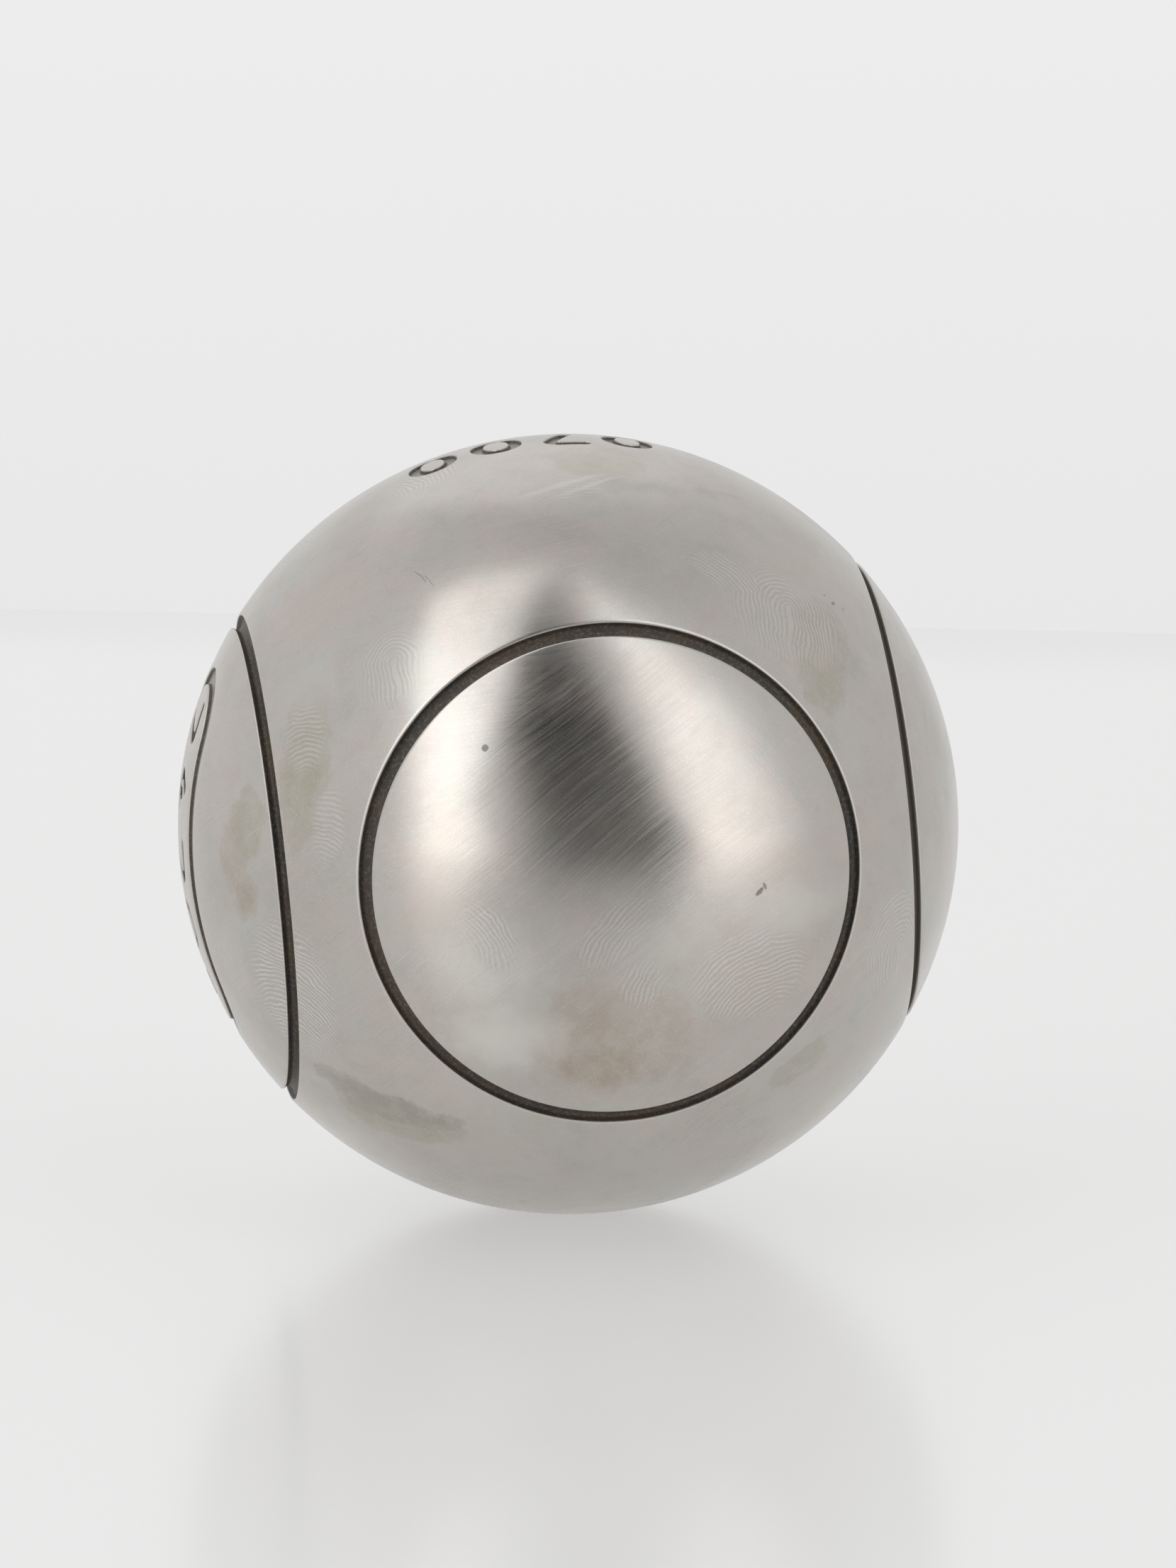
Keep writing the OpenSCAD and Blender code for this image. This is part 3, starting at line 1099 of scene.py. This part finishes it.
def make_floor():
    """A pale sheet that lets light through, so that the ball's shadow on it stays soft and light."""
    mesh = bpy.data.meshes.new("floor")
    ahead = towards(FLOOR_END_AZIMUTH, 0)
    side = Vector((0, 0, 1)).cross(ahead)
    below = Vector((0, 0, cad_low.z))
    places = [(-FLOOR_REACH, -1), (-FLOOR_REACH, 1), (FLOOR_END, 1), (FLOOR_END, -1)]
    corners = [ahead * run + side * (FLOOR_REACH * sign) + below for run, sign in places]
    mesh.from_pydata(corners, [], [(3, 2, 1, 0)])
    floor = new_object("floor", mesh)
    material, n = new_material("floor_pale")
    place = n.new("ShaderNodeTexCoord").outputs["Object"]
    run = n.facing(place, ahead)
    # Painted shadow: the floor's colour darkens towards its far edge
    colour = n.mix(n.ramp(run, FLOOR_END - FLOOR_EDGE_SHADOW_BAND, FLOOR_END), FLOOR_COLOUR, FLOOR_EDGE_SHADOW_COLOUR)
    matt = n.shader("ShaderNodeBsdfDiffuse", Color=colour)
    through = n.shader("ShaderNodeBsdfTranslucent", Color=colour)
    gloss = n.shader("ShaderNodeBsdfGlossy", Color=(1, 1, 1, 1), Roughness=FLOOR_ROUGHNESS)
    camera_ray = n.new("ShaderNodeLightPath").outputs["Is Camera Ray"]
    faded = n.times(camera_ray, n.ramp(n.facing(place, FRONT), *FLOOR_MATT_FROM))
    mirrors = n.times(n.shader("ShaderNodeFresnel", IOR=FLOOR_IOR), n.minus(1.0, faded))
    surface = n.mix_shaders(mirrors, n.mix_shaders(FLOOR_THROUGH, matt, through), gloss)
    n.shader("ShaderNodeOutputMaterial", Surface=surface)
    mesh.materials.append(material)


# The studio as the ball mirrors it. Each shape has its left and right edge, and its strength, at these
# elevations, and the softness of both edges. All are in degrees.
STUDIO_TONE = 0.83
SHAPE_ELEVATIONS = (-45, -25, -5, 15, 35, 55, 72)
LEFT_LIGHT = (
    (-52, -52, -52, -54, -62, -84, -128),
    (-14, -18, -29, -37, -34, -29, -44),
    (0.45, 1.12, 1.24, 1.42, 1.4, 1.14, 0.78),
    (3, 8),
)
RIGHT_LIGHT = (
    (25, 25, 24, 23, 22, 20, 15),
    (66, 66, 57, 51, 48, 41, 32),
    (0.2, 0.95, 1.19, 1.18, 1.25, 1.29, 1.2),
    (3, 28),
)
DARK_FIGURE = (
    (-12, -14, -17, -22, -31, -34, -46),
    (42, 41, 35, 22, 11, 3, -8),
    (0, 0.16, 0.88, 0.87, 0.96, 1, 0.57),
    (20, 5),
)
# The wall behind the ball is lit from above, and the room is a little lighter on the left
BACK_LIGHT = (178, 42)
BACK_LIGHT_REACH = (25, 13)
BACK_LIGHT_STRENGTH = 0.22
SIDE_TONES = (1.04, 0.95)
# Two elevations, and the tone at each: the ceiling is darker, and what lies low is lighter
CEILING_TONE = (30, 90, 1.0, 0.84)
LOW_TONE = (-20, -5, 1.12, 1.0)
# What the camera sees behind the ball grows lighter upwards, between these elevations
BACKDROP_ELEVATIONS = (-8, -2.5)
BACKDROP_TONES = (0.806, 0.842)


def studio_shape(n, azimuth, elevation, shape):
    """Strength of one of the studio's shapes in a direction."""
    left, right, strength, (soft_left, soft_right) = shape
    left_edge, right_edge = n.curve(elevation, left, -100, 100), n.curve(elevation, right, -100, 100)
    amount = n.curve(elevation, strength, 0, 2)
    past_left = n.ramp(n.minus(azimuth, left_edge), -soft_left / 2, soft_left / 2)
    past_right = n.ramp(n.minus(right_edge, azimuth), -soft_right / 2, soft_right / 2)
    return n.times(n.times(past_left, past_right), amount)


def make_world():
    world = bpy.data.worlds.new("studio")
    scene.world = world
    world.use_nodes = True
    n = Nodes(world.node_tree)
    parts = n.new("ShaderNodeSeparateXYZ")
    view = n.new("ShaderNodeTexCoord").outputs["Generated"]
    n.put(parts.inputs[0], view)
    x, y, z = parts.outputs
    azimuth = n.math("DEGREES", n.math("ARCTAN2", x, n.times(y, -1.0)))
    elevation = n.math("DEGREES", n.math("ARCSINE", z))
    light = n.times(STUDIO_TONE, n.ramp(elevation, *CEILING_TONE))
    light = n.times(light, n.ramp(elevation, *LOW_TONE))
    light = n.times(light, n.ramp(x, -0.8, 0.8, *SIDE_TONES))
    behind = n.ramp(n.facing(view, towards(*BACK_LIGHT)), *map(cosine, BACK_LIGHT_REACH))
    light = n.plus(light, n.times(behind, BACK_LIGHT_STRENGTH))
    for shape in (LEFT_LIGHT, RIGHT_LIGHT):
        light = n.plus(light, studio_shape(n, azimuth, elevation, shape))
    mirrored = n.times(light, n.minus(1.0, studio_shape(n, azimuth, elevation, DARK_FIGURE)))
    backdrop = n.ramp(elevation, *BACKDROP_ELEVATIONS, *BACKDROP_TONES, smooth=False)
    seen = n.new("ShaderNodeLightPath").outputs["Is Camera Ray"]
    tone = n.mix(seen, mirrored, backdrop, "FLOAT")
    background = n.shader("ShaderNodeBackground", Color=(1, 1, 1, 1), Strength=tone)
    n.shader("ShaderNodeOutputWorld", Surface=background)


# The camera stands where the photograph was taken from
IMAGE_W, IMAGE_H = 1659, 2212
BALL_X, BALL_Y, BALL_R_PIXELS = 801.6, 1162.2, 550.5
CAMERA_AZIMUTH = -7.62
CAMERA_ELEVATION = 9.09
CAMERA_DISTANCE = 18 * BALL_R
SENSOR = 36.0


def make_camera():
    data = bpy.data.cameras.new("camera")
    focal = BALL_R_PIXELS * math.sqrt((CAMERA_DISTANCE / BALL_R) ** 2 - 1)
    data.sensor_width = SENSOR
    data.lens = focal * SENSOR / IMAGE_H
    data.clip_start, data.clip_end = 0.05, 50
    camera = new_object("camera", data)
    away = towards(CAMERA_AZIMUTH, CAMERA_ELEVATION)
    right = Vector((0, 0, 1)).cross(away).normalized()
    up = away.cross(right)
    metres_per_pixel = CAMERA_DISTANCE / focal
    aim = (right * (IMAGE_W / 2 - BALL_X) + up * (BALL_Y - IMAGE_H / 2)) * metres_per_pixel
    camera.location = away * CAMERA_DISTANCE
    camera.rotation_mode = "QUATERNION"
    camera.rotation_quaternion = (aim - camera.location).to_track_quat("-Z", "Y")
    scene.camera = camera


make_floor()
make_world()
make_camera()
scene.view_settings.view_transform = "Standard"
